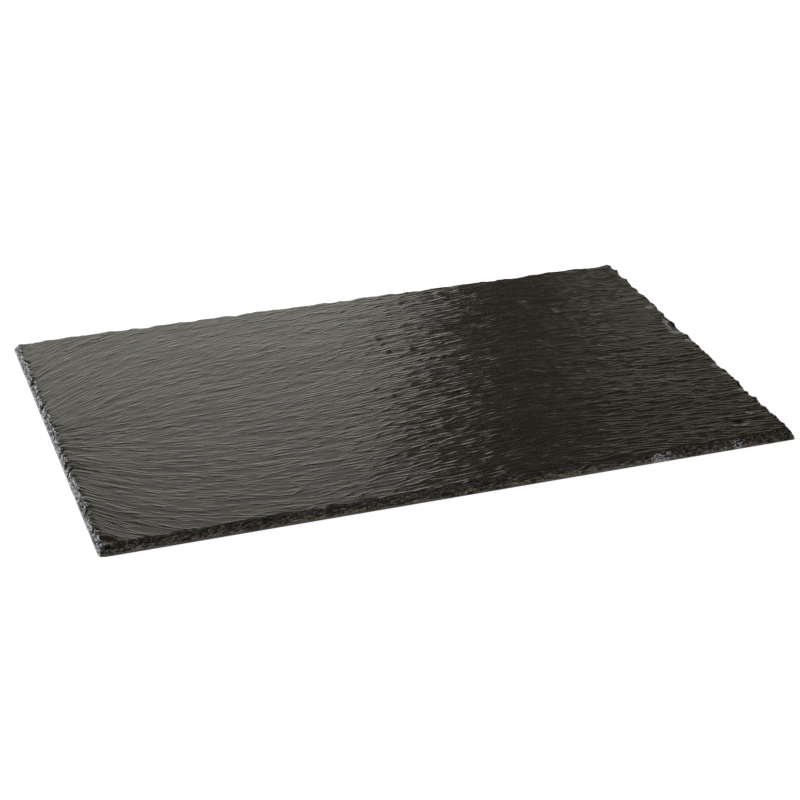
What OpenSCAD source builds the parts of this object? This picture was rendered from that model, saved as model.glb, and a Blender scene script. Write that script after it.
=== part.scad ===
// Slate serving board: a riven slab with hand-dressed edges, on four self-adhesive rubber feet.
// Millimetres, +Z up. The origin is on the table under the middle of the board. +X runs along
// the long side and +Y points to the back.

/* [Slab] */
// Length of the slab at its bottom outline
slab_l = 530; // [300:5:700]
// Depth of the slab at its bottom outline
slab_w = 325; // [200:5:450]
// Mean thickness of the slab
slab_t = 7; // [5:0.5:10]

/* [Dressed edge] */
// Height of the smooth lip at the foot of the edge
lip_h = 1.4; // [0.8:0.1:2]
// How far the lip leans in
lip_lean = 0.4; // [0.2:0.1:0.6]
// Mean distance from the bottom outline in to the top rim
rim_inset = 4.7; // [4:0.1:7]
// Mean width of one chip along the edge
chip_pitch = 21; // [16:1:40]
// How much further the deepest chip bites into the rim than the cusps between chips
chip_bite = 2.8; // [1:0.1:3]
// How far the ragged rim wanders to each side
rim_nibble = 0.5; // [0:0.1:0.6]
// How far the rim is broken down below the face
rim_drop = 0.5; // [0:0.1:0.8]
// Length of edge lost at the most worn corner
corner_clip = 7; // [3:0.5:12]

/* [Riven face] */
// Height of the cleft ridges on the top face, from hollow to crest
cleft_h = 1.0; // [0.3:0.1:1.4]
// Height of the slow swell under the ridges
swell_h = 0.5; // [0:0.1:0.8]
// Distance from ridge to ridge across the grain
ridge_pitch = 15; // [13:1:30]
// Length of one ridge along the grain
ridge_run = 110; // [60:5:200]
// How far back from the front edge the middle of the fan of grain lies
fan_y = 158; // [60:1:260]
// Slant of the grain at the left edge, to each side of the fan's middle
fan_angle = 47; // [0:1:55]
// Distance from the fan's middle in which the grain turns to its full slant
fan_w = 45; // [30:1:80]
// Distance from the left edge in which the fan straightens
fan_reach = 70; // [40:5:110]
// How far the grain wanders sideways as it runs along the slab
wave_h = 10; // [0:1:20]
// Length of that wander
wave_l = 580; // [400:10:900]
// Distance from the left edge to where the wander crosses its middle
wave_start = 215; // [100:5:300]

/* [Underside] */
// Depth of the hollows in the underside
hollow_h = 0.5; // [0:0.1:0.8]
// Distance from hollow to hollow in the underside
hollow_pitch = 58; // [40:1:90]

/* [Feet] */
// Diameter of a foot
foot_d = 12; // [8:0.5:20]
// Height of the rubber of a foot
foot_h = 1.5; // [1:0.1:4]
// Radius round the foot's bottom edge
foot_round = 0.4; // [0.1:0.1:0.6]
// Distance from the slab's outline to a foot's centre, along both sides
foot_inset = 36; // [25:1:60]
// Thickness of the adhesive that holds a foot
adhesive_t = 0.2; // [0.1:0.05:0.5]
// How far the adhesive stays inside the foot's outline
adhesive_margin = 0.5; // [0.2:0.1:1]

/* [Hidden] */

$fn = 64;
slate_colour = "#3d3b36";
rubber_colour = "#1b1b1b";
adhesive_colour = "#c9c6ba";

// Heights, from the table up
adhesive_z = foot_h;
slab_z = foot_h + adhesive_t;
half_l = slab_l / 2;
half_w = slab_w / 2;

// Places of the feet, as shares of half the slab less the inset
front_left_share = [-1, -1];
front_right_share = [1, -1];
back_left_share = [-1, 1];
back_right_share = [1, 1];
foot_shares = [front_left_share, front_right_share, back_left_share, back_right_share];

// Size of a facet of the top face along and across the slab
facet_l = 11;
facet_w = 5.4;
// Facets along and across, in pairs so that the underside can have half as many
along_n = 2 * max(6, round(half_l / facet_l));
across_n = 2 * max(6, round(half_w / facet_w));
// Rim points for each facet along the top face's border
rim_split = 2;

// Flat land between the deepest chip and the riven face's first facet
rim_land = 2;
apron = rim_inset + max(chip_bite + rim_nibble, corner_clip) + rim_land;

// Wear of the corners, from the front left one round to the back left one
corner_shares = [0.7, 1, 0.3, 0.8];
// Share of the dressed edge's height at which its middle ring lies, and the share of the way in
// to the rim that it has there: at a cusp between chips, more in a chip's hollow, and ragged
middle_share = 0.45;
cusp_share = 0.36;
hollow_share = 0.26;
ragged_share = 0.08;
// Least and most width and depth of a chip, as shares of the mean
chip_width_shares = [0.45, 1.55];
chip_depth_shares = [0.15, 1];
// Share of its height that the lip gives way to the deepest chip
lip_loss_share = 0.5;
// Second layer of ridges, finer and lower
fine_share = 0.45;

chip_seed = 11;
depth_seed = 29;
nibble_seed = 43;
cleft_seed = 7;

// Smooth random field with values from -1 to 1, on a lattice of seeded numbers
lattice_n = 61;
lattice = rands(-1, 1, lattice_n * lattice_n, cleft_seed);

function ease(t) = t * t * (3 - 2 * t);
function clamp01(t) = min(1, max(0, t));
function mix(a, b, t) = a + (b - a) * t;
function wrapped(i) = ((i % lattice_n) + lattice_n) % lattice_n;
function lattice_at(i, j) = lattice[wrapped(i) * lattice_n + wrapped(j)];
function field(a, b) =
    let (i = floor(a), j = floor(b), u = ease(a - i), v = ease(b - j))
    mix(
        mix(lattice_at(i, j), lattice_at(i + 1, j), u),
        mix(lattice_at(i, j + 1), lattice_at(i + 1, j + 1), u),
        v
    );

function sinh(a) = (exp(a) - exp(-a)) / 2;
function cosh(a) = (exp(a) + exp(-a)) / 2;
function asinh(a) = sign(a) * ln(abs(a) + sqrt(a * a + 1));

// Grain of the cleft face. Its lines fan out from the middle of the left edge with the slope
// tan(fan_angle) * exp(-d / fan_reach) * tanh(e / fan_w), which integrates to the place across
// the grain given here. Also gives the distance along the slab, and how much closer than usual
// the lines lie.
function grain(x, y) =
    let (
        d = x + half_l,
        e = y + half_w - fan_y - wave_h * sin(360 * (d - wave_start) / wave_l),
        squeeze = exp(fan_reach / fan_w * tan(fan_angle) * exp(-d / fan_reach)),
        spread = sinh(e / fan_w) * squeeze
    )
    [d, fan_w * asinh(spread), squeeze * cosh(e / fan_w) / sqrt(1 + spread * spread)];

// Height of the riven top face over its mean plane, lower where the lines crowd together
function riven(x, y) =
    let (
        g = grain(x, y),
        coarse = 1 - 2 * abs(field(g[0] / ridge_run, g[1] / ridge_pitch)),
        fine = field(2 * g[0] / ridge_run + lattice_n / 2, 2 * g[1] / ridge_pitch),
        ridge = (coarse + fine_share * fine) / (1 + fine_share),
        swell = field(x / ridge_run + lattice_n / 3, y / ridge_run)
    )
    (cleft_h * ridge / g[2] + swell_h * swell) / 2;

// Facets of the underside, and the flat that it keeps round each foot
under_l = (slab_l - 2 * apron) / (along_n / 2);
under_w = (slab_w - 2 * apron) / (across_n / 2);
flat_r = foot_d / 2 + norm([under_l, under_w]);

function foot_at(share) = [share[0] * (half_l - foot_inset), share[1] * (half_w - foot_inset)];
function foot_gap(x, y) = min([for (s = foot_shares) norm([x, y] - foot_at(s))]);

// Depth of the underside's hollows, none at the feet
function hollow(x, y) =
    hollow_h * ease(clamp01((foot_gap(x, y) - flat_r) / hollow_pitch))
    * (1 + field(x / hollow_pitch, y / hollow_pitch)) / 2;

// Sides of the slab, counted from the front one round through the right, back and left
side_lengths = [slab_l, slab_w, slab_l, slab_w];
side_counts = [along_n, across_n, along_n, across_n] * rim_split;
corner_signs = [[-1, -1], [1, -1], [1, 1], [-1, 1]];
side_inward = [[0, 1], [-1, 0], [0, -1], [1, 0]];

// Chips along each side: a table that turns a share of the side into a chip's number plus the
// share of that chip, and a depth for each chip
function sum_to(list, n) = n == 0 ? 0 : sum_to(list, n - 1) + list[n - 1];
function running_sum(list) = [for (n = [0:len(list)]) sum_to(list, n)];
chip_counts = [for (l = side_lengths) max(3, round(l / chip_pitch))];
chip_tables = [
    for (k = [0:3])
        let (
            widths = rands(chip_width_shares[0], chip_width_shares[1], chip_counts[k], chip_seed + k),
            ends = running_sum(widths)
        )
        [for (i = [0:chip_counts[k]]) [ends[i] / ends[chip_counts[k]], i]]
];
chip_depths = [
    for (k = [0:3]) rands(chip_depth_shares[0], chip_depth_shares[1], chip_counts[k], depth_seed + k)
];
nibbles = [for (k = [0:3]) rands(-1, 1, side_counts[k], nibble_seed + k)];

// How deep the chip at share t of side k is, from none at its ends to its depth in the middle
function scoop(k, t) =
    let (p = lookup(t, chip_tables[k]), i = min(floor(p), chip_counts[k] - 1), f = p - i)
    chip_depths[k][i] * 4 * f * (1 - f);

// Distance from the bottom outline in to the rim, and to the middle of the dressed edge
function rim_at(k, i) =
    rim_inset - chip_bite / 2 + chip_bite * scoop(k, i / side_counts[k]) + rim_nibble * nibbles[k][i];
function middle_at(k, i) =
    let (s = cusp_share + hollow_share * scoop(k, i / side_counts[k]) - ragged_share * nibbles[k][i])
    mix(lip_lean, rim_at(k, i), s);

// Point i of side k on a ring with the mean inset b0 and the inset b here. It meets its
// neighbour side at b0 in both directions.
function on_side(k, i, b0, b) =
    let (
        t = i / side_counts[k],
        a = corner_signs[k],
        c = corner_signs[(k + 1) % 4],
        corner = [a[0] * (half_l - b0), a[1] * (half_w - b0)],
        next = [c[0] * (half_l - b0), c[1] * (half_w - b0)],
        from_corner = min(t, 1 - t) * side_lengths[k],
        shift = (b - b0) * clamp01(from_corner / corner_clip)
    )
    worn(mix(corner, next, t) + shift * side_inward[k], b0);

// Cuts a ring's corner off along a slanting line
function worn(p, b0) =
    let (
        k = p[0] < 0 ? (p[1] < 0 ? 0 : 3) : (p[1] < 0 ? 1 : 2),
        clip = corner_clip * corner_shares[k],
        u = half_l - b0 - abs(p[0]),
        v = half_w - b0 - abs(p[1]),
        cut = max(0, clip - u - v) / 2
    )
    p - cut * corner_signs[k];

function at_height(p, z) = [p[0], p[1], z];
function on_face(p, drop) = at_height(p, slab_z + slab_t + riven(p[0], p[1]) - drop);

ring_places = [for (k = [0:3]) for (i = [0:side_counts[k] - 1]) [k, i]];
outline_ring = [for (q = ring_places) at_height(on_side(q[0], q[1], 0, 0), slab_z)];
lip_ring = [
    for (q = ring_places)
        at_height(
            on_side(q[0], q[1], lip_lean, lip_lean),
            slab_z + lip_h * (1 - lip_loss_share * scoop(q[0], q[1] / side_counts[q[0]]))
        )
];
middle_ring = [
    for (q = ring_places)
        at_height(
            on_side(q[0], q[1], mix(lip_lean, rim_inset, cusp_share), middle_at(q[0], q[1])),
            slab_z + mix(lip_h, slab_t, middle_share)
        )
];
rim_ring = [
    for (q = ring_places)
        on_face(
            on_side(q[0], q[1], rim_inset, rim_at(q[0], q[1])),
            rim_drop * (1 + nibbles[q[0]][q[1]]) / 2
        )
];

// Grids of the top face and of the underside, inside the apron
function grid_place(i, j, m, n) =
    [mix(apron - half_l, half_l - apron, i / m), mix(apron - half_w, half_w - apron, j / n)];
face_grid = [
    for (i = [0:along_n]) for (j = [0:across_n]) on_face(grid_place(i, j, along_n, across_n), 0)
];
under_grid = [
    for (i = [0:along_n / 2]) for (j = [0:across_n / 2])
        let (p = grid_place(i, j, along_n / 2, across_n / 2))
        at_height(p, slab_z + hollow(p[0], p[1]))
];

// Indices of a grid's cells and of its border, from the front left corner round
function cells(first, m, n) = [
    for (i = [0:m - 1]) for (j = [0:n - 1])
        let (
            a = first + i * (n + 1) + j,
            b = a + n + 1,
            even = (i + j) % 2 == 0
        )
        for (f = even ? [[a, b, b + 1], [a, b + 1, a + 1]] : [[a, b, a + 1], [b, b + 1, a + 1]]) f
];
function border(first, m, n) = [
    for (i = [0:m - 1]) first + i * (n + 1),
    for (j = [0:n - 1]) first + m * (n + 1) + j,
    for (i = [m:-1:1]) first + i * (n + 1) + n,
    for (j = [n:-1:1]) first + j
];

// Joins an outer ring to an inner one that has as many points or a whole share of them
function joined(outer, inner) =
    let (
        m = len(outer),
        n = len(inner),
        r = m / n,
        h = ceil(r / 2)
    )
    [
        for (i = [0:n - 1]) for (q = [0:r - 1])
            [outer[r * i + q], outer[(r * i + q + 1) % m], inner[(q < h ? i : i + 1) % n]],
        for (i = [0:n - 1]) [outer[(r * i + h) % m], inner[(i + 1) % n], inner[i]]
    ];
function turned(faces) = [for (f = faces) [f[0], f[2], f[1]]];

ring_n = len(ring_places);
function ring(k) = [for (i = [0:ring_n - 1]) k * ring_n + i];
face_first = 4 * ring_n;
under_first = face_first + len(face_grid);

slab_points = concat(outline_ring, lip_ring, middle_ring, rim_ring, face_grid, under_grid);
slab_faces = concat(
    turned(joined(ring(0), ring(1))),
    turned(joined(ring(1), ring(2))),
    turned(joined(ring(2), ring(3))),
    turned(joined(ring(3), border(face_first, along_n, across_n))),
    turned(cells(face_first, along_n, across_n)),
    joined(ring(0), border(under_first, along_n / 2, across_n / 2)),
    cells(under_first, along_n / 2, across_n / 2)
);

module slate_slab() {
    color(slate_colour)
        polyhedron(points = slab_points, faces = slab_faces, convexity = 4);
}

module foot(share) {
    color(rubber_colour)
        translate(foot_at(share))
            rotate_extrude() {
                translate([0, foot_round])
                    square([foot_d / 2, foot_h - foot_round]);
                square([foot_d / 2 - foot_round, foot_h]);
                translate([foot_d / 2 - foot_round, foot_round])
                    circle(r = foot_round);
            }
}

module adhesive(share) {
    color(adhesive_colour)
        translate(at_height(foot_at(share), adhesive_z))
            cylinder(d = foot_d - 2 * adhesive_margin, h = adhesive_t);
}

slate_slab();
foot(front_left_share);  // foot_front_left
foot(front_right_share);  // foot_front_right
foot(back_left_share);  // foot_back_left
foot(back_right_share);  // foot_back_right
adhesive(front_left_share);  // adhesive_front_left
adhesive(front_right_share);  // adhesive_front_right
adhesive(back_left_share);  // adhesive_back_left
adhesive(back_right_share);  // adhesive_back_right
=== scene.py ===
import bisect
import math
import random

import bmesh
import bpy
from bpy.props import FloatProperty, FloatVectorProperty, IntProperty, PointerProperty
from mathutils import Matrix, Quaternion, Vector, noise


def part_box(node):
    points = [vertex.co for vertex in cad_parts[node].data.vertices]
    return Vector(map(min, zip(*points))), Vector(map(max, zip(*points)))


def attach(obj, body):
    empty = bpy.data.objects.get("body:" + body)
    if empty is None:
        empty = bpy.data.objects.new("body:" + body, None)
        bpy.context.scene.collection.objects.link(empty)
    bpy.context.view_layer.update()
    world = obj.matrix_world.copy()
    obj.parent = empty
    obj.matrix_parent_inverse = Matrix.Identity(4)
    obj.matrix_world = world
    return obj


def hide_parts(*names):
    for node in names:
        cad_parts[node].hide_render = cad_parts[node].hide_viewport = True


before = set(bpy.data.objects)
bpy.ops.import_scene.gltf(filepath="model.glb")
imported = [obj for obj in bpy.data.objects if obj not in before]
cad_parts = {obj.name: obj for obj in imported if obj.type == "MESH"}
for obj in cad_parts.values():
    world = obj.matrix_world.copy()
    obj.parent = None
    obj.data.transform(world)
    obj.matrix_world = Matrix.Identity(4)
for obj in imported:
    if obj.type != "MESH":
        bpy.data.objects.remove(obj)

bl_info = {
    "name": "Slate serving board",
    "version": (1, 0, 0),
    "blender": (4, 5, 0),
    "location": "3D View > Sidebar > Slate board",
    "description": "Dresses a slate serving board, its rubber feet and their adhesive discs",
    "category": "Add Mesh",
}

MM = 0.001
CORNERS = ("front_left", "front_right", "back_left", "back_right")
SLAB_LOW, SLAB_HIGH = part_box("slate_slab")
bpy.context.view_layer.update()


def length(name, description, millimetres):
    return FloatProperty(
        name=name, description=description, default=millimetres * MM, precision=5,
        unit="LENGTH", subtype="DISTANCE",
    )


def share(name, description, default):
    return FloatProperty(name=name, description=description, default=default, subtype="FACTOR")


def angle(name, description, degrees):
    return FloatProperty(
        name=name, description=description, default=math.radians(degrees), subtype="ANGLE",
    )


def colour(name, description, default):
    return FloatVectorProperty(
        name=name, description=description, default=default, size=3, min=0, max=1, subtype="COLOR",
    )


def mix(a, b, t):
    return a + (b - a) * t


def clamp(t):
    return min(1.0, max(0.0, t))


def ease(t):
    """Smooth step from 0 to 1"""
    t = clamp(t)
    return t * t * (3 - 2 * t)


def hump(t):
    """Smooth hump: 0 at both ends, 1 in the middle"""
    return 4 * t * (1 - t)


def crowded(u, share_in):
    """Moves a place between -1 and 1 outwards, so that even steps lie closer at both ends"""
    return u + share_in * math.sin(math.pi * u) / math.pi


class CleftFace(bpy.types.PropertyGroup):
    """Riven top face: its cells, its fan of grain and its ridges"""

    cells_along: IntProperty(name="Cells along", description="Cells along the slab", default=118)
    cells_across: IntProperty(name="Cells across", description="Cells across the slab", default=480)
    end_crowding: share("End crowding", "How much closer the cells lie at the two ends", 0.55)
    crest: length("Crest", "Highest ridge above the mean face", 0.6)
    fan_place: length("Fan place", "From the front edge back to the middle of the fan", 158)
    fan_slant: angle("Fan slant", "Slant of the grain at the left edge", 47)
    fan_width: length("Fan width", "From the fan's middle to its full slant", 45)
    fan_reach: length("Fan reach", "From the left edge to where the fan straightens", 70)
    wander: length("Wander", "How far the grain wanders sideways", 10)
    wander_length: length("Wander length", "Length of that wander", 580)
    wander_start: length("Wander start", "From the left edge to the wander's middle", 215)
    drift: length("Drift", "How far a ridge drifts off its line", 2.1)
    drift_length: length("Drift length", "Length of that drift", 25)
    quiver: length("Quiver", "How far a ridge quivers along its line", 0.8)
    quiver_length: length("Quiver length", "Length of that quiver", 9)
    streak_pitch: length("Streak pitch", "From streak to streak", 7)
    streak_run: length("Streak run", "Length of a streak", 42)
    streak_height: length("Streak height", "Height of the streaks, all over the face", 0.14)
    dash_pitch: length("Dash pitch", "From one short ridge to the next on the left", 4.2)
    dash_run: length("Dash run", "Length of a short ridge on the left", 18)
    dash_height: length("Dash height", "Height of the short ridges on the left", 0.15)
    bark_pitch: length("Bark pitch", "From ridge to ridge on the right", 6.5)
    bark_run: length("Bark run", "Length of a ridge on the right", 56)
    bark_height: length("Bark height", "Height of the ridges on the right", 0.12)
    cord_pitch: length("Cord pitch", "From one fine ridge to the next on the right", 5.2)
    cord_run: length("Cord run", "Length of a fine ridge on the right", 22)
    cord_height: length("Cord height", "Height of the fine ridges on the right", 0.08)
    ridge_width: share("Ridge width", "Width of the ridges on the right, over their pitch", 0.14)
    bark_start: length("Bark start", "From the left edge to where the strong ridges begin", 130)
    bark_full: length("Bark full", "From the left edge to where they are full", 420)
    swell_height: length("Swell height", "Height of the slow swell under the ridges", 0.35)


class DressedEdge(bpy.types.PropertyGroup):
    """Edge that was struck off chip by chip, over a smooth lip"""

    lip_height: length("Lip height", "Height of the smooth lip at the foot of the edge", 1.4)
    lip_lean: length("Lip lean", "How far the lip leans in", 0.4)
    rim_inset: length("Rim inset", "From the bottom outline in to the mean rim", 4.7)
    rim_drop: length("Rim drop", "How far the rim is broken down below the face", 0.5)
    chip_pitch: length("Chip pitch", "Mean width of one chip", 21)
    chip_bite: length("Chip bite", "From the cusps in to the deepest chip", 2.8)
    nibble: length("Nibble", "Depth of the deepest small bite in the rim", 2.4)
    nibble_pitch: length("Nibble pitch", "Mean width of a small bite", 8)
    grit: length("Grit", "How far the broken rim wanders between its grains", 0.9)
    grit_pitch: length("Grit pitch", "Size of those grains", 2.6)
    splinter: length("Splinter", "Depth of the broken layers in a chip", 0.8)
    splinter_size: length("Splinter size", "Width of the broken layers", 2.4)
    pit_share: share("Pit share", "How far a pit goes in on the slope, over its depth", 1.8)
    corner_clip: length("Corner clip", "Length lost at the most worn corner", 2.4)
    apron: length("Apron", "How far in the face follows the ragged rim", 16)


class Underside(bpy.types.PropertyGroup):
    """Cleft underside, flat where the feet are stuck on"""

    hollow: length("Hollow", "Depth of its hollows", 0.5)
    hollow_pitch: length("Hollow pitch", "From hollow to hollow", 58)
    ridge: length("Ridge", "Height of its fine ridges", 0.18)
    border: length("Border", "Flat border inside the outline", 2)
    foot_land: length("Foot land", "Flat land round the middle of a foot", 9)


class SlateFinish(bpy.types.PropertyGroup):
    """Colours and gloss of the slate"""

    face: colour("Face", "Cleft face", (0.036, 0.024, 0.01))
    rust: colour("Rust", "Brown cast in parts of the face", (0.044, 0.0275, 0.0095))
    # Crest colour: partly rubbed wear, partly painted highlight along the ridge crests
    crest: colour("Crest", "Rubbed crests of the ridges", (0.08, 0.062, 0.038))
    chip: colour("Chip", "Freshly broken stone", (0.015, 0.0115, 0.006))
    fleck: colour("Fleck", "Bruised flecks in the chips", (0.23, 0.208, 0.12))
    rusty_fleck: colour("Rusty fleck", "Rusty flecks in the chips", (0.17, 0.105, 0.06))
    hole: colour("Hole", "Deep shade between the broken layers", (0.0014, 0.0011, 0.001))
    # Pale colour for bruises and scratches, also used for painted light on the lit left slope and for
    # painted glints
    bruise_and_light: colour("Bruise", "Pale bruises and scratches", (0.46, 0.465, 0.47))
    lip: colour("Lip", "Smooth lip", (0.045, 0.044, 0.035))
    gloss: share("Gloss", "Roughness of the cleft face", 0.15)


class Foot(bpy.types.PropertyGroup):
    """Moulded rubber foot and the adhesive disc over it"""

    segments: IntProperty(name="Segments", description="Segments round a foot", default=96)
    rounding: length("Rounding", "Radius of the foot's lower edge", 0.4)
    draft: length("Draft", "How much narrower the foot is at the stone", 0.15)
    dish_inset: length("Dish inset", "From the tread's edge in to its dish", 2.2)
    dish_depth: length("Dish depth", "Depth of the dish in the tread", 0.15)
    rubber: colour("Rubber", "Foot rubber", (0.016, 0.016, 0.017))
    adhesive: colour("Adhesive", "Adhesive film", (0.60, 0.58, 0.50))


class Studio(bpy.types.PropertyGroup):
    """Pale floor, soft lights and camera"""

    floor_size: length("Floor size", "Side of the floor", 160000)
    floor_colour: colour("Floor colour", "Pale floor", (0.82, 0.82, 0.82))
    floor_glow: share("Floor glow", "Light that the translucent floor gives off", 0.92)
    camera_place: FloatVectorProperty(
        name="Camera place", description="Place of the camera", default=(-0.4601, -1.2622, 0.7138),
        size=3, precision=4, unit="LENGTH", subtype="TRANSLATION",
    )
    camera_azimuth: angle("Camera azimuth", "Turn of the camera round the board", -20.33)
    camera_elevation: angle("Camera elevation", "Height of the camera as an angle", 28.12)
    camera_roll: angle("Camera roll", "Roll of the camera", 1.21)
    camera_lens: FloatProperty(
        name="Camera lens", description="Focal length in millimetres", default=87.84, unit="CAMERA",
    )


class BoardSettings(bpy.types.PropertyGroup):
    """All sizes and colours of the board"""

    face: PointerProperty(type=CleftFace)
    edge: PointerProperty(type=DressedEdge)
    underside: PointerProperty(type=Underside)
    slate: PointerProperty(type=SlateFinish)
    foot: PointerProperty(type=Foot)
    studio: PointerProperty(type=Studio)


# Marks in the slate: middle x and y, half length, half width, turn, depth and paleness; a paleness
# below 0 is painted shade in a pit, one above 0 is pale bruising that partly paints the light caught
# in notches of the rim
MARKS = (
    (256.1, 67.7, 4.5, 3.6, 0, 0.3, 1.5),
    (256, 18.3, 7, 4, -17, 0.3, 1.5),
    (254.9, 32.8, 14, 2.2, 81, 0.2, 1.4),
    (259, 30.5, 7, 3, 81, 0.8, -1),
    (259.1, 0.4, 4.5, 2.6, -30, 0.2, 1.4),
    (258.2, -45.1, 4, 3, 0, 0.2, 1.2),
    (260, -60.8, 4.5, 2.4, -20, 0.2, 1.2),
    (259, -88.8, 4.5, 3, 0, 0.3, 1.3),
    (231, -136.3, 4.6, 3, 15, 1, -1),
    (233.5, -140.8, 4.6, 1.5, 15, 0, 1.1),
    (244.6, -125.3, 4.2, 1.2, -47, 0.1, 1.5),
    (217.3, -161, 5, 3, 0, 0.2, 0.8),
    (153.4, -161, 8, 3, 0, 0.2, 0.8),
    (-198.8, 146.7, 4, 1.5, 25, 0.35, 0.6),
    (-230.2, 122.4, 3.2, 1.2, 5, 0.1, 1.3),
    (-227.6, 133.8, 3, 1, 15, 0.25, -0.3),
    (-213.8, 65.2, 2.6, 1.5, 10, 0.4, 0.6),
    (-207.7, -56.8, 2.2, 1.4, 0, 0.4, -0.4),
    (-262.4, 94.1, 2.3, 2, 60, 0.8, -1.6),
    (-261.9, 71.2, 2.6, 2.2, 60, 0.8, -1.6),
    (-262.6, 50.3, 2.5, 2, 60, 0.8, -1.6),
    (-262.5, -25, 2.4, 2, 60, 0.8, -1.6),
    (-262.6, -43.2, 2.2, 2, 60, 0.8, -1.4),
    (-262.8, -53.2, 2, 1.8, 60, 0.8, -1.4),
    (-261.6, -110.2, 5, 2.6, 80, 0.8, -1.2),
    (-258.5, -153, 8.5, 5, -45, 1, 0),
)


# Height on the unit sphere and brightness of the surround there
SURROUND = ((0, 0.95), (0.03, 0.05))

# Name, place, target, width, height, power and colour of each softbox
LIGHTS = (
    ("wall_softbox", (-0.01, 3.5, 0.95), (-0.01, 0, 0.95), 2.66, 1.9, 21.5, (1, 1, 0.92)),
    ("strip_softbox", (0.815, 3.5, 2.55), (0.815, 0, 2.55), 1.01, 1.3, 3.3, (1, 1, 0.92)),
    ("left_softbox", (-3.3, 1.9, 0.42), (0, 0, 0), 1, 0.7, 130, (0.9, 0.93, 1)),
    ("right_softbox", (2.2, 3.5, 1.56), (2.2, 0, 1.56), 0.86, 0.44, 1.05, (1, 0.96, 0.84)),
    ("low_softbox", (2.25, 3.5, 0.7), (2.25, 0, 0.7), 0.86, 1.28, 1.15, (1, 0.92, 0.74)),
    ("top_softbox", (0, 0.2, 3.4), (0, 0, 0), 3.6, 3.6, 6, (1, 1, 1)),
    ("front_softbox", (0.4, -3.6, 1.1), (0.4, 0, 1.1), 3.4, 2, 16, (1, 1, 0.95)),
    ("side_softbox", (3.8, -0.6, 1), (0, -0.6, 1), 3.4, 1.8, 14, (1, 1, 0.95)),
)


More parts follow.
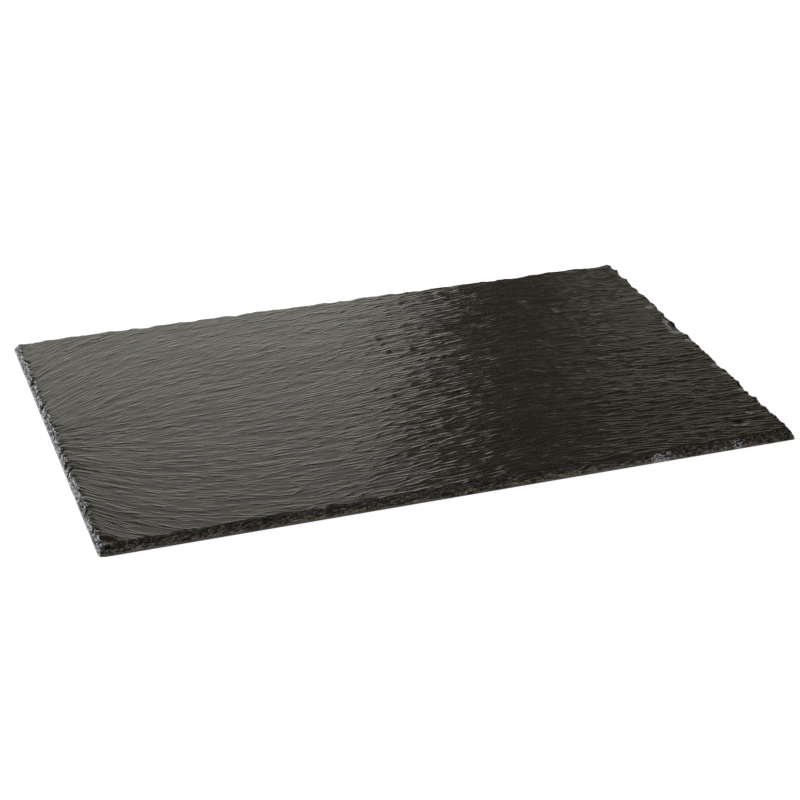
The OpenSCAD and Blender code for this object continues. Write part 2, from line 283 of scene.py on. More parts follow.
class Grain:
    """Lines along which the slate splits, and the relief of the faces that it leaves"""

    SEEDS = {
        "streaks": 3.1, "breaks": 5.9, "dashes": 7.7, "ribs": 11.3, "cords": 17.9, "swell": 31.7,
        "hollows": 41.3, "under_ridges": 43.9,
    }
    NEXT_OCTAVE = 0.5
    QUIVER_LEFT = 0.3
    BREAK_MEAN = 0.6
    BREAK_CONTRAST = 1.6
    BREAK_WIDTH = 3
    DASH_WIDTH = 0.4
    DASH_MEAN = 0.5
    RIDGE_MEAN = 0.2
    FULL_PALENESS = 0.5

    def __init__(self, face, underside):
        self.face = face
        self.underside = underside
        self.mean = SLAB_HIGH.z - face.crest

    def at(self, x, y):
        """Distance along the slab, place across the grain, and how much closer the lines lie"""
        face = self.face
        along = x - SLAB_LOW.x
        wave = math.sin(math.tau * (along - face.wander_start) / face.wander_length)
        aside = y - SLAB_LOW.y - face.fan_place - face.wander * wave
        slope = math.tan(face.fan_slant) * math.exp(-along / face.fan_reach)
        squeeze = math.exp(face.fan_reach / face.fan_width * slope)
        spread = math.sinh(aside / face.fan_width) * squeeze
        crowding = squeeze * math.cosh(aside / face.fan_width) / math.hypot(1, spread)
        return along, face.fan_width * math.asinh(spread), crowding

    def layer(self, grain, run, pitch, which):
        """Noise stretched along the grain, with the same pitch where the lines crowd together"""
        along, across, crowding = grain
        octave = math.log2(crowding)
        whole = math.floor(octave)
        t = ease(octave - whole)
        wide = pitch * 2 ** whole
        seed = self.SEEDS[which]
        low = noise.noise(Vector((along / run, across / wide, seed)))
        high = noise.noise(Vector((along / run, across / (2 * wide), seed + self.NEXT_OCTAVE)))
        return mix(low, high, t) / math.hypot(t, 1 - t)

    def dash(self, grain, run, pitch, which):
        """Sharp ridges along the grain that fall off to each side, from -0.5 to 0.5"""
        off = abs(self.layer(grain, run, pitch, which)) / self.DASH_WIDTH
        return math.exp(-off) - self.DASH_MEAN

    def ridge(self, grain, run, pitch, which):
        """Narrow ridges along the grain with flats between them, from -0.2 to 0.8"""
        off = abs(self.layer(grain, run, pitch, which)) / self.face.ridge_width
        return max(0, 1 - off) - self.RIDGE_MEAN

    def relief(self, x, y):
        """Height of the riven face over its mean plane"""
        face = self.face
        along, across, crowding = self.at(x, y)
        drift = face.drift * noise.noise(Vector((x, y, 0)) / face.drift_length)
        bark = ease((along - face.bark_start) / (face.bark_full - face.bark_start))
        quiver = face.quiver * noise.noise(Vector((x, y, 0)) / face.quiver_length)
        aside = (drift + mix(self.QUIVER_LEFT, 1, bark) * quiver) * crowding
        grain = (along, across + aside, crowding)
        height = face.streak_height * self.layer(grain, face.streak_run, face.streak_pitch, "streaks")
        if bark < 1:
            breaks = self.layer(grain, face.dash_run, self.BREAK_WIDTH * face.dash_pitch, "breaks")
            broken = clamp(self.BREAK_MEAN + self.BREAK_CONTRAST * breaks)
            dashes = self.dash(grain, face.dash_run, face.dash_pitch, "dashes")
            height += (1 - bark) * face.dash_height * broken * dashes
        if bark > 0:
            ribs = self.ridge(grain, face.bark_run, face.bark_pitch, "ribs")
            cords = self.ridge(grain, face.cord_run, face.cord_pitch, "cords")
            height += bark * (face.bark_height * ribs + face.cord_height * cords)
        place = Vector((along / face.bark_run, y / face.bark_run, self.SEEDS["swell"]))
        height += face.swell_height * noise.noise(place)
        return face.crest * math.tanh(height / face.crest)

    def marked(self, x, y):
        """Depth and paleness of the marks at a place, where a paleness below 0 is painted shade"""
        depth = pale = 0.0
        for middle_x, middle_y, along, across, turn, deep, light in MARKS:
            dx = x - middle_x * MM
            dy = y - middle_y * MM
            if max(abs(dx), abs(dy)) > along * MM:
                continue
            cos, sin = math.cos(math.radians(turn)), math.sin(math.radians(turn))
            u = (dx * cos + dy * sin) / (along * MM)
            v = (dy * cos - dx * sin) / (across * MM)
            share_in = clamp(1 - u * u - v * v)
            depth += deep * MM * share_in
            pale += light * min(1, share_in / self.FULL_PALENESS)
        return depth, pale

    def top(self, x, y):
        return self.mean + self.relief(x, y) - self.marked(x, y)[0]

    def bottom(self, x, y):
        """Height of the underside: hollows and fine ridges, none of them at the feet"""
        under = self.underside
        gap = min((Vector((x, y, 0)) - middle).length for middle in FOOT_MIDDLES)
        fade = ease((gap - under.foot_land) / under.hollow_pitch)
        place = Vector((x, y, self.SEEDS["hollows"])) / under.hollow_pitch
        hollow = (1 + noise.noise(place)) / 2
        grain = self.at(x, y)
        ridge = (1 + self.layer(grain, self.face.bark_run, self.face.bark_pitch, "under_ridges")) / 2
        return SLAB_LOW.z + fade * (under.hollow * hollow + under.ridge * ridge)


def foot_middle(corner):
    low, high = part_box("foot_" + corner)
    return Vector(((low.x + high.x) / 2, (low.y + high.y) / 2, 0))


FOOT_MIDDLES = [foot_middle(corner) for corner in CORNERS]


class DressedOutline:
    """Chips round the slab, from the front side round through the right, back and left"""

    SEED = 11
    SIGNS = ((-1, -1), (1, -1), (1, 1), (-1, 1))
    INWARD = ((0, 1), (-1, 0), (0, -1), (1, 0))
    WEAR = (1, 0.25, 0.5, 0.2)
    WEAR_REACH = 2.6
    BITE_WIDTHS = (0.45, 1.55)
    BITE_DEPTHS = (0.15, 1)
    CHIP_MEAN = 0.5
    NIBBLE_MEAN = 0.4
    GRIT_ROWS = (0.3, 10.3, 20.3, 30.3)
    GRIT_SEED = 5
    SLOPE_CURVE = 1.28
    CHIP_CURVE = 0.68
    RIM_SHARES = (1, 1, 1, 0.72)
    NIBBLE_SHARES = (1, 1.4, 0.35, 0.8)
    NIBBLE_WIDTHS = (1, 2.2, 3, 1)
    GRIT_SHARES = (1, 0.45, 0.25, 0.8)
    # Painted shade on the upper part of each side's chipped slope: how much is taken off the proud
    # value there
    UPPER_SHADES = (0.8, 0.6, 0.6, 0)
    # Painted light: paleness of each side's slope for the light falling on it, strongest on the left
    LIT_SIDE_PALENESS = (0, 0.2, 0.2, 0.64)

    def __init__(self, edge):
        self.edge = edge
        self.half = (SLAB_HIGH.x, SLAB_HIGH.y)
        self.lengths = (2 * SLAB_HIGH.x, 2 * SLAB_HIGH.y) * 2
        draw = random.Random(self.SEED)
        self.chips = self.bites(draw, edge.chip_pitch, (1, 1, 1, 1))
        self.nibbles = self.bites(draw, edge.nibble_pitch, self.NIBBLE_WIDTHS)

    def bites(self, draw, pitch, stretches):
        """Where the bites of one size start along each side, and how deep each one is"""
        sides = []
        for side_length, stretch in zip(self.lengths, stretches):
            count = round(side_length / (pitch * stretch))
            widths = [draw.uniform(*self.BITE_WIDTHS) for _ in range(count)]
            starts = [side_length * sum(widths[:i]) / sum(widths) for i in range(count + 1)]
            sides.append((starts, [draw.uniform(*self.BITE_DEPTHS) for _ in range(count)]))
        return sides

    @staticmethod
    def hollow(bites, side, s):
        """How deep the bite at distance s along a side is, from none at its ends"""
        starts, depths = bites[side]
        i = max(0, min(len(depths) - 1, bisect.bisect(starts, s) - 1))
        f = clamp((s - starts[i]) / (starts[i + 1] - starts[i]))
        return depths[i] * hump(f)

    def scoop(self, side, s):
        return self.hollow(self.chips, side, s)

    def rim(self, side, s):
        """Distance from the bottom outline in to the ragged rim"""
        edge = self.edge
        bite = edge.chip_bite * (self.scoop(side, s) - self.CHIP_MEAN)
        nibble = edge.nibble * (self.hollow(self.nibbles, side, s) - self.NIBBLE_MEAN)
        place = Vector((s / edge.grit_pitch, self.GRIT_ROWS[side], self.GRIT_SEED))
        grit = edge.grit * noise.noise(place)
        ragged = self.NIBBLE_SHARES[side] * nibble + self.GRIT_SHARES[side] * grit
        return (edge.rim_inset + bite) * self.RIM_SHARES[side] + ragged

    def bevel(self, rim, share_up, scoop=0):
        """Inset of the chipped slope at a share of its height, hollow in the middle of a chip"""
        lean = self.edge.lip_lean
        return lean + (rim - lean) * share_up ** (self.SLOPE_CURVE - self.CHIP_CURVE * scoop)

    def insets(self, share_up):
        """Mean inset of the slope on each side at a share of its height"""
        return [self.bevel(self.edge.rim_inset * share, share_up) for share in self.RIM_SHARES]

    def corner(self, number, insets):
        """Corner of the rectangle with those insets"""
        sx, sy = self.SIGNS[number % 4]
        return (
            sx * (self.half[0] - insets[1 if sx > 0 else 3]),
            sy * (self.half[1] - insets[2 if sy > 0 else 0]),
        )

    def worn(self, x, y, insets):
        """Moves a point of a rectangle with those insets in where its corner is worn off"""
        sign = (math.copysign(1, x), math.copysign(1, y))
        number = self.SIGNS.index(sign)
        corner_x, corner_y = self.corner(number, insets)
        clip = self.edge.corner_clip * self.WEAR[number]
        gap = abs(corner_x - x) + abs(corner_y - y)
        reach = self.WEAR_REACH * clip
        if gap >= reach:
            return x, y
        cut = clip * (1 - gap / reach) ** 2 / 2
        return x - sign[0] * cut, y - sign[1] * cut

    def off_corners(self, side, s):
        """0 at the ends of a side, and 1 past the wear of its corners"""
        return clamp(min(s, self.lengths[side] - s) / self.edge.corner_clip)

    def side_point(self, side, s, insets, shift):
        """Point at distance s along a side of the rectangle with those insets, shifted inward"""
        ax, ay = self.corner(side, insets)
        bx, by = self.corner(side + 1, insets)
        t = s / self.lengths[side]
        shift *= self.off_corners(side, s)
        inward = self.INWARD[side]
        x = mix(ax, bx, t) + shift * inward[0]
        y = mix(ay, by, t) + shift * inward[1]
        return self.worn(x, y, insets)

    def face_point(self, u, v):
        """Place on the face of a point of the unit square, bent to the ragged rim near it"""
        edge = self.edge
        insets = self.insets(1)
        low_x, low_y = self.corner(0, insets)
        high_x, high_y = self.corner(2, insets)
        x = mix(low_x, high_x, (1 + u) / 2)
        y = mix(low_y, high_y, (1 + v) / 2)
        gaps = (y - low_y, high_x - x, high_y - y, x - low_x)
        turns = ((1 + u) / 2, (1 + v) / 2, (1 - u) / 2, (1 - v) / 2)
        moved_x = moved_y = 0.0
        for side, gap in enumerate(gaps):
            if gap >= edge.apron:
                continue
            s = turns[side] * self.lengths[side]
            shift = (self.rim(side, s) - insets[side]) * self.off_corners(side, s)
            shift *= (1 - gap / edge.apron) ** 2
            moved_x += shift * self.INWARD[side][0]
            moved_y += shift * self.INWARD[side][1]
        return self.worn(x + moved_x, y + moved_y, insets)


def as_object(name, bm):
    """Ends a bmesh as an object"""
    mesh = bpy.data.meshes.new(name)
    bm.to_mesh(mesh)
    bm.free()
    piece = bpy.data.objects.new(name, mesh)
    bpy.context.scene.collection.objects.link(piece)
    return piece


class SlabBuilder:
    """One closed mesh: riven face, chipped slope, smooth lip and cleft underside"""

    RISES = (0.91, 0.81, 0.7, 0.59, 0.48, 0.37, 0.26, 0.16, 0.07, 0)
    SPLINTER_SEED = 11
    SQUARE_EDGE = 1 - 1e-6
    CRUMBLE_REACH = 4
    CRUMBLE_SIZE = 5
    CRUMBLE_CONTRAST = 1.6
    CRUMBLE_SEED = 3
    LAYER_FLATNESS = 2
    FINE_LAYERS = 0.6
    FINE_SCALE = 2.3
    LIP_LOSS = 0.5
    LOW_FADE = 6
    TOP_FADE = 1.6
    DRESSED_LIP = 0.76
    DRESSED_RISE = 4
    DRESSED_RIM = MM
    COLUMNS_TO_ONE = 4
    BORDERS_TO_FULL = 5
    MERGE_GAP = 0.01 * MM

    def __init__(self, settings):
        self.face = settings.face
        self.edge = settings.edge
        self.under = settings.underside
        self.grain = Grain(settings.face, settings.underside)
        self.outline = DressedOutline(settings.edge)
        self.counts = (2 * self.face.cells_along, 2 * self.face.cells_across) * 2
        noise.seed_set(self.SPLINTER_SEED)
        self.bm = bmesh.new()
        layers = self.bm.verts.layers
        self.column = layers.int.new("column")
        self.dressed = layers.float.new("dressed")
        self.crest = layers.float.new("crest")
        self.proud = layers.float.new("proud")
        self.pale = layers.float.new("pale")
        self.lines = layers.float_vector.new("grain")

    def column_of(self, u, v):
        """Number of a border point of the unit square, from the front left corner round"""
        along, across = self.counts[:2]
        if v <= -self.SQUARE_EDGE:
            return round((1 + u) / 2 * along)
        if u >= self.SQUARE_EDGE:
            return along + round((1 + v) / 2 * across)
        if v >= self.SQUARE_EDGE:
            return along + across + round((1 - u) / 2 * along)
        return (2 * along + across + round((1 - v) / 2 * across)) % sum(self.counts)

    def side_of(self, number):
        """Side of a column and its distance along that side"""
        for side, count in enumerate(self.counts):
            if number < count:
                t = number / count
                if side % 2 == 0:
                    t = (1 + crowded(2 * t - 1, self.face.end_crowding)) / 2
                return side, t * self.outline.lengths[side]
            number -= count
        return 0, 0.0

    def crumble(self, x, y, rim_gap):
        """How far the face is broken down close to the rim"""
        drop = self.edge.rim_drop
        fade = (1 - clamp(rim_gap / (self.CRUMBLE_REACH * drop))) ** 2
        place = Vector((x, y, self.CRUMBLE_SEED)) / (self.CRUMBLE_SIZE * drop)
        grit = 1 + self.CRUMBLE_CONTRAST * noise.noise(place)
        return drop * clamp(grit / 2) * fade

    def splinters(self, place):
        """Broken layers in the chips: a push in the plane and up, from about -1 to 1"""
        size = self.edge.splinter_size
        coarse = Vector((place.x / size, place.y / size, place.z / (size / self.LAYER_FLATNESS)))
        fine = noise.noise_vector(self.FINE_SCALE * coarse)
        return noise.noise_vector(coarse) + self.FINE_LAYERS * fine

    def make_face(self):
        """Starts the mesh with the riven top face, open at its rim"""
        bm = self.bm
        bmesh.ops.create_grid(
            bm, x_segments=self.face.cells_along, y_segments=self.face.cells_across, size=1,
        )
        rim = [e for e in bm.edges if e.is_boundary]
        bmesh.ops.subdivide_edges(bm, edges=rim, cuts=1)
        half = self.outline.half
        for vert in bm.verts:
            u, v = vert.co.x, vert.co.y
            if max(abs(u), abs(v)) > self.SQUARE_EDGE:
                vert[self.column] = self.column_of(u, v)
            u = crowded(u, self.face.end_crowding)
            gap = min((1 - abs(u)) * half[0], (1 - abs(v)) * half[1])
            x, y = self.outline.face_point(u, v)
            relief = self.grain.relief(x, y)
            depth, pale = self.grain.marked(x, y)
            z = self.grain.mean + relief - depth - self.crumble(x, y, gap)
            vert.co = (x, y, z)
            vert[self.crest] = relief / self.face.crest
            vert[self.pale] = pale
            vert[self.dressed] = 1 - clamp(gap / self.DRESSED_RIM)
            vert[self.lines] = Vector(self.grain.at(x, y))
        for face in bm.faces:
            face.smooth = True

    def extrude(self, place_vert, smooth):
        """Grows the open border outwards by one ring, and places its points"""
        border = [e for e in self.bm.edges if e.is_boundary]
        grown = bmesh.ops.extrude_edge_only(self.bm, edges=border)["geom"]
        for item in grown:
            if isinstance(item, bmesh.types.BMVert):
                place_vert(item)
            elif isinstance(item, bmesh.types.BMFace):
                item.smooth = smooth

    def slope_vert(self, vert, rise):
        """Places a point of the chipped slope"""
        edge = self.edge
        side, s = self.side_of(vert[self.column])
        scoop = self.outline.scoop(side, s)
        rim = self.outline.rim(side, s)
        insets = self.outline.insets(rise)
        shift = self.outline.bevel(rim, rise, scoop) - insets[side]
        x, y = self.outline.side_point(side, s, insets, shift)
        lip = SLAB_LOW.z + edge.lip_height * (1 - self.LIP_LOSS * scoop)
        top = self.outline.insets(1)
        rim_x, rim_y = self.outline.side_point(side, s, top, rim - top[side])
        rim_z = self.grain.top(rim_x, rim_y) - self.crumble(rim_x, rim_y, 0)
        place = Vector((x, y, mix(lip, rim_z, rise)))
        push = self.splinters(place) * min(1, self.LOW_FADE * rise, self.TOP_FADE - rise)
        outward = -Vector((*self.outline.INWARD[side], 0))
        depth, pale = self.grain.marked(x, y)
        pit = edge.pit_share * depth * hump(rise)
        place += edge.splinter * push - pit * outward
        # Painted shade: the upper slope counts as less proud, so it gets fewer flecks and more dark
        # hollows
        shade = self.outline.UPPER_SHADES[side] * (rise - 0.5)
        vert[self.proud] = push.dot(outward) + push.z - shade
        vert[self.pale] = pale or self.outline.LIT_SIDE_PALENESS[side]
        limit = edge.lip_lean / 2
        place.x = max(SLAB_LOW.x + limit, min(SLAB_HIGH.x - limit, place.x))
        place.y = max(SLAB_LOW.y + limit, min(SLAB_HIGH.y - limit, place.y))
        vert.co = place
        vert[self.dressed] = min(1, self.DRESSED_LIP + self.DRESSED_RISE * rise)

    def outline_vert(self, vert):
        """Places a point of the bottom outline"""
        side, s = self.side_of(vert[self.column])
        x, y = self.outline.side_point(side, s, (0, 0, 0, 0), 0)
        vert.co = (x, y, SLAB_LOW.z)
        vert[self.dressed] = self.DRESSED_LIP
        vert[self.pale] = self.outline.LIT_SIDE_PALENESS[side]

    def under_vert(self, vert):
        """Places a point on the border of the underside's grid, four columns to a point"""
        step = self.COLUMNS_TO_ONE
        number = step * round(vert[self.column] / step) % sum(self.counts)
        side, s = self.side_of(number)
        half = self.outline.half
        border = self.under.border
        (ax, ay), (bx, by) = self.outline.SIGNS[side], self.outline.SIGNS[(side + 1) % 4]
        t = s / self.outline.lengths[side]
        x = mix(ax, bx, t) * (half[0] - border)
        y = mix(ay, by, t) * (half[1] - border)
        vert.co = (x, y, SLAB_LOW.z)
        vert[self.dressed] = 0
        vert[self.pale] = 0

    def make_underside(self):
        """Closes the mesh with the cleft underside"""
        bm = self.bm
        self.extrude(self.under_vert, True)
        half = self.outline.half
        border = self.under.border
        along, across = self.face.cells_along // 2, self.face.cells_across // 2
        made = bmesh.ops.create_grid(bm, x_segments=along, y_segments=across, size=1)
        for vert in made["verts"]:
            u, v = crowded(vert.co.x, self.face.end_crowding), vert.co.y
            x = u * (half[0] - border)
            y = v * (half[1] - border)
            gap = min((1 - abs(u)) * half[0], (1 - abs(v)) * half[1])
            z = self.grain.bottom(x, y)
            vert.co = (x, y, mix(SLAB_LOW.z, z, ease(gap / (self.BORDERS_TO_FULL * border))))
            vert[self.lines] = Vector(self.grain.at(x, y))
            for face in vert.link_faces:
                face.smooth = True
        bmesh.ops.remove_doubles(bm, verts=bm.verts, dist=self.MERGE_GAP)

    def finish(self, name):
        """Ends the mesh as an object, if it is closed"""
        bm = self.bm
        bmesh.ops.recalc_face_normals(bm, faces=bm.faces)
        bmesh.ops.triangulate(bm, faces=[f for f in bm.faces if len(f.verts) > 4])
        open_edges = [e for e in bm.edges if not e.is_manifold]
        if open_edges:
            raise RuntimeError(f"the slab has {len(open_edges)} open edges")
        return as_object(name, bm)

    def build(self, name):
        self.make_face()
        for rise in self.RISES:
            self.extrude(lambda vert, rise=rise: self.slope_vert(vert, rise), False)
        self.extrude(self.outline_vert, True)
        self.make_underside()
        return self.finish(name)


class Number:
    """A number in a shader: Python operators on it add Math nodes"""

    def __init__(self, finish, socket):
        self.finish = finish
        self.socket = socket

    def maths(self, operation, first, second=0):
        node = self.finish.add("ShaderNodeMath", {"operation": operation}, {0: first, 1: second})
        return Number(self.finish, node.outputs[0])

    def __add__(self, other):
        return self.maths("ADD", self, other)

    def __sub__(self, other):
        return self.maths("SUBTRACT", self, other)

    def __rsub__(self, other):
        return self.maths("SUBTRACT", other, self)

    def __mul__(self, other):
        return self.maths("MULTIPLY", self, other)

    def __truediv__(self, other):
        return self.maths("DIVIDE", self, other)

    def __rtruediv__(self, other):
        return self.maths("DIVIDE", other, self)

    def __pow__(self, other):
        return self.maths("POWER", self, other)

    def __rpow__(self, other):
        return self.maths("POWER", other, self)

    def __abs__(self):
        return self.maths("ABSOLUTE", self)

    __radd__ = __add__
    __rmul__ = __mul__


class Finish:
    """Nodes of a material or a world: one method adds any node, the rest name common ones"""

    def __init__(self, owner):
        self.owner = owner
        owner.use_nodes = True
        self.tree = owner.node_tree
        self.tree.nodes.clear()
        self.places = self.add("ShaderNodeTexCoord", {}, {}).outputs
        self.coordinates = self.places["Object"]

    def add(self, kind, settings, sockets):
        """Adds a node with its settings, then sets or links its sockets"""
        node = self.tree.nodes.new(kind)
        for name, value in settings.items():
            if name == "stops":
                self.set_stops(node.color_ramp, value)
            else:
                setattr(node, name, value)
        for key, value in sockets.items():
            socket = node.inputs[key] if isinstance(key, int) else self.named(node.inputs, key)
            value = value.socket if isinstance(value, Number) else value
            if isinstance(value, bpy.types.NodeSocket):
                self.tree.links.new(value, socket)
            elif socket.type == "RGBA":
                socket.default_value = (*value, 1)
            else:
                socket.default_value = value
        return node

    @staticmethod
    def named(sockets, name):
        return next(s for s in sockets if s.enabled and s.name == name)

    @staticmethod
    def set_stops(ramp, stops):
        while len(ramp.elements) < len(stops):
            ramp.elements.new(1)
        for element, (place, level) in zip(ramp.elements, stops):
            element.position = place
            element.color = (level, level, level, 1)

    def attribute(self, name, output="Fac"):
        node = self.add("ShaderNodeAttribute", {"attribute_name": name}, {})
        return Number(self, node.outputs[output])

    def stretched(self, scale):
        """Object coordinates times a scale along each axis"""
        sockets = {0: self.coordinates, 1: scale}
        return self.add("ShaderNodeVectorMath", {"operation": "MULTIPLY"}, sockets).outputs[0]

    def noise(self, vector, scale, detail=2, roughness=0.5):
        sockets = {"Vector": vector, "Scale": scale, "Detail": detail, "Roughness": roughness}
        return Number(self, self.add("ShaderNodeTexNoise", {}, sockets).outputs["Fac"])

    def cells(self, vector, scale):
        node = self.add("ShaderNodeTexVoronoi", {}, {"Vector": vector, "Scale": scale})
        return Number(self, node.outputs["Distance"])

    def ramp(self, value, *stops):
        """A value sent through stops, each one a place and the level there"""
        node = self.add("ShaderNodeValToRGB", {"stops": stops}, {"Fac": value})
        return Number(self, node.outputs["Color"])

    def blend(self, factor, first, second):
        sockets = {"Factor": factor, "A": first, "B": second}
        node = self.add("ShaderNodeMix", {"data_type": "RGBA"}, sockets)
        return self.named(node.outputs, "Result")

    def bump(self, height, distance, normal=None):
        sockets = {"Height": height, "Distance": distance}
        if normal is not None:
            sockets["Normal"] = normal
        return self.add("ShaderNodeBump", {}, sockets).outputs["Normal"]

    def shade(self, **sockets):
        """Ends the material in a Principled shader"""
        sockets = {name.replace("_", " ").title(): value for name, value in sockets.items()}
        shader = self.add("ShaderNodeBsdfPrincipled", {}, sockets)
        self.add("ShaderNodeOutputMaterial", {}, {"Surface": shader.outputs[0]})
        return self.owner


# Patterns of the finishes: lines by run, pitch and detail, the rest by size or share
HAIR = (24 * MM, 3.2 * MM, 0)
HAIR_BREAKS = (16 * MM, 7 * MM, 1)
FINE_DASHES = (20 * MM, 4 * MM, 0)
FINE_DASH_WIDTH = 0.15
TORN_DASHES = 0.5
GRIT = 0.5 * MM
CRUMB = 1.1 * MM
SHARD = 0.75 * MM
SHARD_ROUGHNESS = 0.6
FLUTE = 1.2 * MM
FLUTE_SHARE = 0.35
GLINT_SIZE = 0.7 * MM
GLINT_SHARE = 0.5
RUSTY_PATCH = 3 * MM
RUST_SCALE = 9
FLAT = (1, 1, 1.6)
UPRIGHT = (1, 1, 0.25)
ALONG = (1, 2, 1)
FINE_DEPTH = 0.24 * MM
CHIP_DEPTH = 0.3 * MM
RUBBER_GRAIN = 0.18 * MM
RUBBER_GRAIN_DEPTH = 0.04 * MM
DUST = 2.4 * MM
CLOUD = 1.6 * MM
BUBBLE = 0.6 * MM
BUBBLE_DEPTH = 0.03 * MM


def slate(look):
    """Riven slate: satin, brown-black, with fine striations along the grain and gritty chips"""
    finish = Finish(bpy.data.materials.new("slate"))
    lines = finish.add("ShaderNodeSeparateXYZ", {}, {0: finish.attribute("grain", "Vector")})
    along, across, crowding = (Number(finish, output) for output in lines.outputs)
    octave = crowding.maths("LOGARITHM", crowding, 2)
    whole = octave.maths("FLOOR", octave)
    part = octave - whole

    def striations(run, pitch, detail):
        """Noise along the grain in two octaves, blended where the lines crowd together"""
        wide = across / (pitch * 2 ** whole)
        low = finish.add("ShaderNodeCombineXYZ", {}, {0: along / run, 1: wide}).outputs[0]
        high = finish.add("ShaderNodeCombineXYZ", {}, {0: along / run, 1: wide / 2}).outputs[0]
        first = finish.noise(low, 1, detail)
        return first + (finish.noise(high, 1, detail) - first) * part

    def crease(value, width):
        """Narrow lines where a noise crosses its middle: 1 on a line, 0 beside it"""
        return finish.ramp(abs(value - 0.5), (0, 1), (width, 0))

    dressed, crest, proud, pale = map(finish.attribute, ("dressed", "crest", "proud", "pale"))
    hair = striations(*HAIR)
    breaks = finish.ramp(striations(*HAIR_BREAKS), (0.4, 0.1), (0.62, 1))
    torn = finish.ramp(along / (SLAB_HIGH.x - SLAB_LOW.x), (0.3, 0), (0.75, 1))
    dashes = crease(striations(*FINE_DASHES), FINE_DASH_WIDTH) * (breaks + torn * TORN_DASHES)
    grit = finish.noise(finish.coordinates, 1 / GRIT)
    layers = finish.stretched(FLAT)
    crumbs = finish.cells(layers, 1 / CRUMB)
    flutes = finish.noise(finish.stretched(UPRIGHT), 1 / FLUTE, 1)
    shard = finish.noise(layers, 1 / SHARD, roughness=SHARD_ROUGHNESS) * (1 - FLUTE_SHARE)
    shard = shard + flutes * FLUTE_SHARE

    rust = finish.ramp(finish.noise(finish.stretched(ALONG), RUST_SCALE, 3), (0.42, 0), (0.7, 1))
    # Painted highlight, partly rubbed wear: crests, fine dashes and hair lines are lightened towards
    # the crest colour
    wear_and_highlight = finish.ramp(crest * 0.4 + dashes * 0.3 + hair * 0.6, (0.42, 0), (1, 1))
    stone = finish.blend(rust, look.face, look.rust)
    stone = finish.blend(wear_and_highlight, stone, look.crest)
    # Flecks placed by the proud value: lighter on proud splinters, fewer under the painted shade of
    # the upper slope
    flecks = finish.ramp(shard + proud * 0.14, (0.53, 0), (0.63, 1))
    # Painted glints: small pale specks scattered over the chips
    glint_sparks = finish.ramp(finish.noise(finish.coordinates, 1 / GLINT_SIZE, 1), (0.66, 0), (0.74, 1))
    # Painted shade in the recesses between the splinters, where they stand least proud
    recess_shade = finish.ramp(proud + (shard - 0.5) * 2 + 0.45, (0, 1), (0.45, 0))
    rusty = finish.ramp(finish.noise(finish.coordinates, 1 / RUSTY_PATCH), (0.45, 0), (0.6, 1))
    fleck = finish.blend(rusty, look.fleck, look.rusty_fleck)
    broken = finish.blend(flecks, look.chip, fleck)
    broken = finish.blend(recess_shade, broken, look.hole)
    broken = finish.blend(glint_sparks * GLINT_SHARE, broken, look.bruise_and_light)
    lip = finish.blend(finish.ramp(grit, (0.3, 0), (0.8, 1)), look.lip, look.chip)
    on_edge = finish.ramp(dressed, (0.5, 0), (0.75, 1))
    in_chip = finish.ramp(dressed, (0.78, 0), (0.95, 1))
    edge = finish.blend(in_chip, lip, broken)
    colour_out = finish.blend(on_edge, stone, edge)
    gaps = finish.ramp(shard - recess_shade, (0.47, 1), (0.55, 0))
    # Pale bruises, and painted light on the lit side slopes, broken up between the splinters
    bruise_and_lit_side = finish.ramp(pale - gaps * 0.8, (0, 0), (0.5, 1))
    colour_out = finish.blend(bruise_and_lit_side, colour_out, look.bruise_and_light)
    # Painted shade in the pits of marks with a paleness below 0
    pit_shade = finish.ramp(pale * -1, (0, 0), (0.8, 1))
    colour_out = finish.blend(pit_shade, colour_out, look.hole)

    roughness = look.gloss + (grit - 0.5) * 0.05 + in_chip * 0.2 + recess_shade * 0.3 + pit_shade * 0.4
    hair_height = 0.3 - torn * 0.2
    dash_height = 0.8 - torn * 0.15
    fine = finish.bump(hair * hair_height + dashes * dash_height, FINE_DEPTH)
    rough = finish.bump((crumbs + shard) * in_chip, CHIP_DEPTH, normal=fine)
    return finish.shade(base_color=colour_out, roughness=roughness, normal=rough)


def foot_rubber(look):
    """Moulded rubber: matt, with a fine spark-eroded grain and a little dust"""
    finish = Finish(bpy.data.materials.new("foot_rubber"))
    grain = finish.noise(finish.coordinates, 1 / RUBBER_GRAIN)
    dust = finish.ramp(finish.noise(finish.coordinates, 1 / DUST, 4, 0.65), (0.5, 0), (0.8, 1))
    dusty = tuple(3 * c + 0.01 for c in look.rubber)
    colour_out = finish.blend(dust * 0.7, look.rubber, dusty)
    normal = finish.bump(grain, RUBBER_GRAIN_DEPTH)
    return finish.shade(base_color=colour_out, roughness=0.62 + dust * 0.2, normal=normal)


def adhesive_film(look):
    """Cloudy adhesive film with small trapped bubbles"""
    finish = Finish(bpy.data.materials.new("adhesive_film"))
    cloud = finish.noise(finish.coordinates, 1 / CLOUD, 3)
    bubbles = finish.ramp(finish.cells(finish.coordinates, 1 / BUBBLE), (0.12, 1), (0.3, 0))
    darker = tuple(0.55 * c for c in look.adhesive)
    colour_out = finish.blend(cloud, look.adhesive, darker)
    normal = finish.bump(bubbles, BUBBLE_DEPTH)
    return finish.shade(base_color=colour_out, roughness=0.3 + cloud * 0.25, normal=normal)


def place_piece(piece, material, node):
    """Gives a piece its material, parents it to the root body and hides the CAD node that it stands
    for
    """
    piece.data.materials.append(material)
    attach(piece, "root")
    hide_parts(node)


class BOARD_OT_slab(bpy.types.Operator):
    """Model the riven slate slab with its chipped edges"""

    bl_idname = "board.slab"
    bl_label = "Slate slab"

    def execute(self, context):
        settings = context.scene.slate_board
        piece = SlabBuilder(settings).build("riven_slab")
        place_piece(piece, slate(settings.slate), "slate_slab")
        return {"FINISHED"}


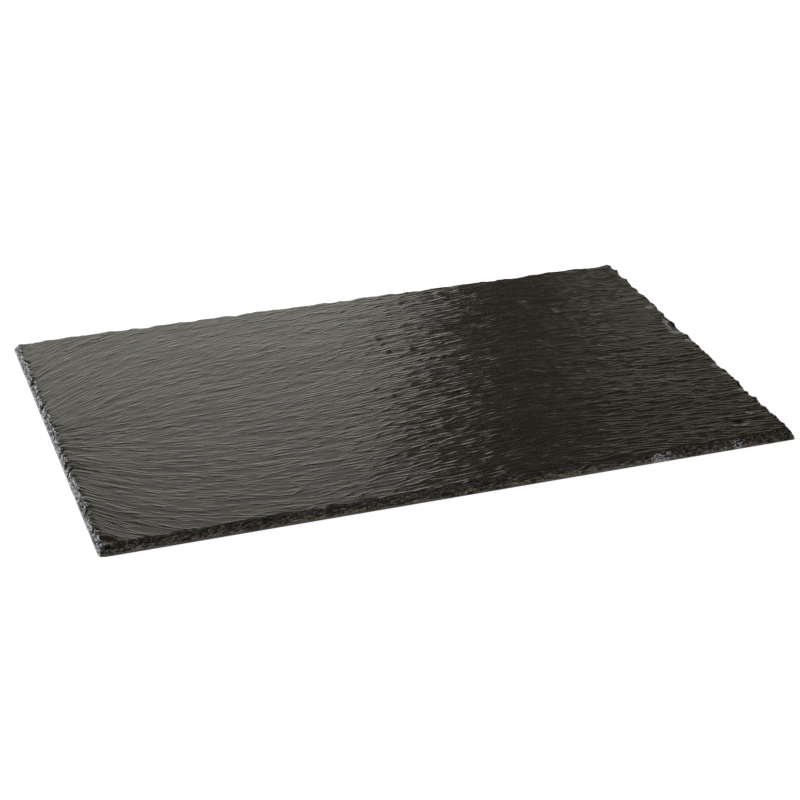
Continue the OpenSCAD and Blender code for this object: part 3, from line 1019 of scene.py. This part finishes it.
def disc_between(low, high, segments, narrower):
    """Bmesh of a round disc that fills a box and is narrower at its top"""
    bm = bmesh.new()
    radius = (high.x - low.x) / 2
    bmesh.ops.create_cone(
        bm, cap_ends=True, segments=segments, radius1=radius, radius2=radius - narrower,
        depth=high.z - low.z,
    )
    bmesh.ops.translate(bm, verts=bm.verts, vec=(low + high) / 2)
    return bm


def smooth_piece(name, bm):
    """Ends a bmesh as a smooth object"""
    bmesh.ops.recalc_face_normals(bm, faces=bm.faces)
    for face in bm.faces:
        face.smooth = True
    return as_object(name, bm)


class BOARD_OT_rubber_feet(bpy.types.Operator):
    """Model the four moulded rubber feet"""

    ROUNDING_SEGMENTS = 6
    DISH_SLOPE = 2
    DISH_MIDDLE = 1 / 3

    bl_idname = "board.rubber_feet"
    bl_label = "Rubber feet"

    def execute(self, context):
        settings = context.scene.slate_board
        material = foot_rubber(settings.foot)
        for corner in CORNERS:
            piece = self.foot(corner, settings.foot)
            place_piece(piece, material, "foot_" + corner)
        return {"FINISHED"}

    def foot(self, corner, sizes):
        """One foot: rounded at the tread's edge, with a shallow dish in the tread"""
        low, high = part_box("foot_" + corner)
        bm = disc_between(low, high, sizes.segments, sizes.draft)
        tread = min(bm.faces, key=lambda f: f.calc_center_median().z)
        bmesh.ops.bevel(
            bm, geom=list(tread.edges), offset=sizes.rounding, affect="EDGES",
            segments=self.ROUNDING_SEGMENTS, profile=0.5, material=-1,
        )
        tread = min(bm.faces, key=lambda f: (round(f.calc_center_median().z, 7), -len(f.verts)))
        inset, depth = sizes.dish_inset, sizes.dish_depth
        bmesh.ops.inset_region(bm, faces=[tread], thickness=inset, use_even_offset=True)
        bmesh.ops.inset_region(bm, faces=[tread], thickness=self.DISH_SLOPE * depth, depth=-depth)
        bmesh.ops.inset_region(bm, faces=[tread], thickness=self.DISH_MIDDLE * inset)
        return smooth_piece("rubber_foot_" + corner, bm)


class BOARD_OT_adhesive_discs(bpy.types.Operator):
    """Model the four adhesive discs between the feet and the stone"""

    WOBBLE = 0.03 * MM
    WOBBLE_SIZE = 1.5 * MM

    bl_idname = "board.adhesive_discs"
    bl_label = "Adhesive discs"

    def execute(self, context):
        settings = context.scene.slate_board
        material = adhesive_film(settings.foot)
        for corner in CORNERS:
            low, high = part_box("adhesive_" + corner)
            bm = disc_between(low, high, settings.foot.segments, 0)
            middle = (low + high) / 2
            for vert in bm.verts:
                wobble = self.WOBBLE * (1 + noise.noise(vert.co / self.WOBBLE_SIZE))
                away = (vert.co - middle).normalized()
                vert.co -= wobble * Vector((away.x, away.y, 0))
            piece = smooth_piece("adhesive_disc_" + corner, bm)
            place_piece(piece, material, "adhesive_" + corner)
        return {"FINISHED"}


class BOARD_OT_studio(bpy.types.Operator):
    """Set the floor, the lights and the camera"""

    bl_idname = "board.studio"
    bl_label = "Studio"

    def execute(self, context):
        studio = context.scene.slate_board.studio
        self.floor(studio)
        self.surround(context.scene)
        for name, place, target, width, height, power, tint in LIGHTS:
            self.softbox(name, Vector(place), Vector(target), width, height, power, tint)
        self.camera(context.scene, studio)
        context.scene.view_settings.view_transform = "Standard"
        return {"FINISHED"}

    @staticmethod
    def floor(studio):
        """Plain pale floor"""
        bm = bmesh.new()
        bmesh.ops.create_grid(bm, x_segments=1, y_segments=1, size=studio.floor_size / 2)
        piece = smooth_piece("floor", bm)
        finish = Finish(bpy.data.materials.new("floor"))
        grain = finish.noise(finish.coordinates, 30, 3)
        material = finish.shade(
            base_color=studio.floor_colour, roughness=0.75 + grain * 0.1,
            emission_color=(1, 1, 1), emission_strength=studio.floor_glow,
        )
        piece.data.materials.append(material)

    @staticmethod
    def surround(scene):
        """Pale horizon under a dim ceiling"""
        sky = Finish(bpy.data.worlds.new("surround"))
        split = sky.add("ShaderNodeSeparateXYZ", {}, {0: sky.places["Generated"]})
        level = sky.ramp(split.outputs["Z"], *SURROUND)
        light = sky.add("ShaderNodeBackground", {}, {"Color": level})
        sky.add("ShaderNodeOutputWorld", {}, {"Surface": light.outputs[0]})
        scene.world = sky.owner

    @staticmethod
    def softbox(name, place, target, width, height, power, tint):
        """Rectangular light that faces its target"""
        light = bpy.data.lights.new(name, "AREA")
        light.shape = "RECTANGLE"
        light.size = width
        light.size_y = height
        light.energy = power
        light.color = tint
        lamp = bpy.data.objects.new(name, light)
        lamp.location = place
        lamp.rotation_mode = "QUATERNION"
        lamp.rotation_quaternion = (target - place).to_track_quat("-Z", "Y")
        bpy.context.scene.collection.objects.link(lamp)

    @staticmethod
    def camera(scene, studio):
        """Camera at the viewing angle"""
        data = bpy.data.cameras.new("camera")
        data.lens = studio.camera_lens
        data.clip_end = 100
        azimuth = studio.camera_azimuth
        rise = studio.camera_elevation
        back = Vector((
            math.sin(azimuth) * math.cos(rise), -math.cos(azimuth) * math.cos(rise), math.sin(rise),
        ))
        camera = bpy.data.objects.new("camera", data)
        camera.location = studio.camera_place
        camera.rotation_mode = "QUATERNION"
        roll = Quaternion((0, 0, 1), studio.camera_roll)
        camera.rotation_quaternion = (-back).to_track_quat("-Z", "Y") @ roll
        scene.collection.objects.link(camera)
        scene.camera = camera


class BOARD_PT_panel(bpy.types.Panel):
    """Panel that lists the pieces of the board"""

    bl_label = "Slate board"
    bl_space_type = "VIEW_3D"
    bl_region_type = "UI"
    bl_category = "Slate board"

    def draw(self, context):
        for operator in OPERATORS:
            self.layout.operator(operator.bl_idname)
        board = context.scene.slate_board
        for group in (getattr(board, name) for name in board.__annotations__):
            box = self.layout.box()
            for value in group.__annotations__:
                box.prop(group, value)


GROUPS = (CleftFace, DressedEdge, Underside, SlateFinish, Foot, Studio, BoardSettings)
OPERATORS = (BOARD_OT_slab, BOARD_OT_rubber_feet, BOARD_OT_adhesive_discs, BOARD_OT_studio)
CLASSES = (*GROUPS, *OPERATORS, BOARD_PT_panel)


def register():
    for cls in CLASSES:
        bpy.utils.register_class(cls)
    bpy.types.Scene.slate_board = PointerProperty(type=BoardSettings)


def unregister():
    del bpy.types.Scene.slate_board
    for cls in reversed(CLASSES):
        bpy.utils.unregister_class(cls)


def main():
    register()
    bpy.ops.board.studio()
    bpy.ops.board.slab()
    bpy.ops.board.rubber_feet()
    bpy.ops.board.adhesive_discs()


if __name__ == "__main__":
    main()
